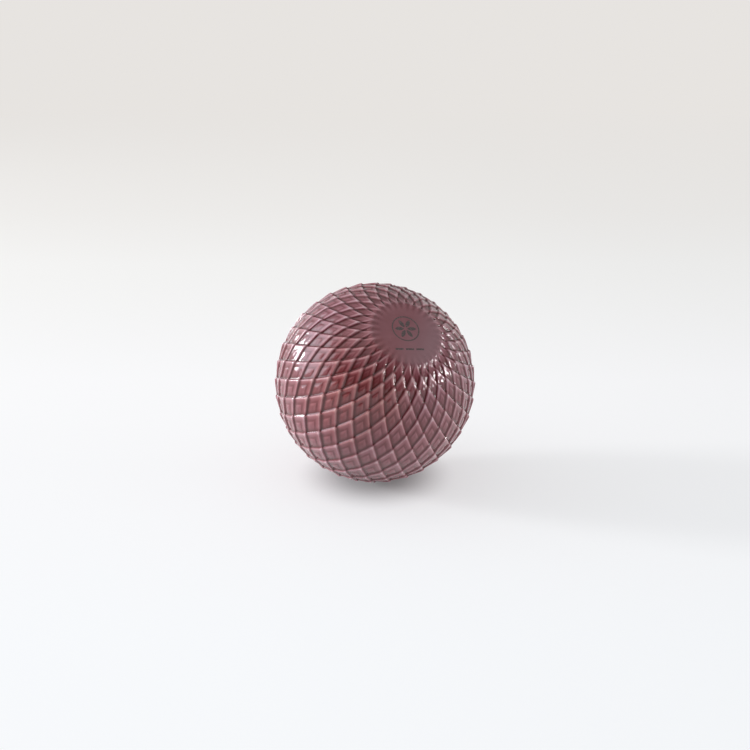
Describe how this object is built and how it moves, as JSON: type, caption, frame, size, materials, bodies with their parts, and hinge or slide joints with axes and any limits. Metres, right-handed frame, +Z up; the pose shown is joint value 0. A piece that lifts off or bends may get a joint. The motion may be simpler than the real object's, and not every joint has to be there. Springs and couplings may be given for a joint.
{
  "type": "lawn bowl",
  "caption": "Round glazed stoneware bowl, weighted off centre inside, with a relief of overlapping scales and a smooth disc closing each end.",
  "frame": {"origin": "centre of the bowl, which is the centre of the sphere through the tips of its scales", "axes": "+Z up from the ground the bowl lies on; the polar axis, which the bowl runs on, lies in the Y-Z plane, 47 degrees above the ground, with the bias side's end disc towards -Y and +Z"},
  "size_m": [0.1198, 0.1199, 0.1198],
  "materials": {
    "mauve_glaze": "gloss",
    "badge_print": "satin",
    "cement": "matte",
    "cast_resin": "satin",
    "weight_iron": "matte"
  },
  "bodies": {
    "root": {"glazed_body": "mauve_glaze", "bias_side_mount": "mauve_glaze", "outer_side_mount": "mauve_glaze", "bias_side_emblem": "badge_print", "outer_side_emblem": "badge_print", "bias_mount_cement": "cement", "outer_mount_cement": "cement", "ballast_core": "cast_resin", "bias_weight": "weight_iron"}
  },
  "joints": []
}
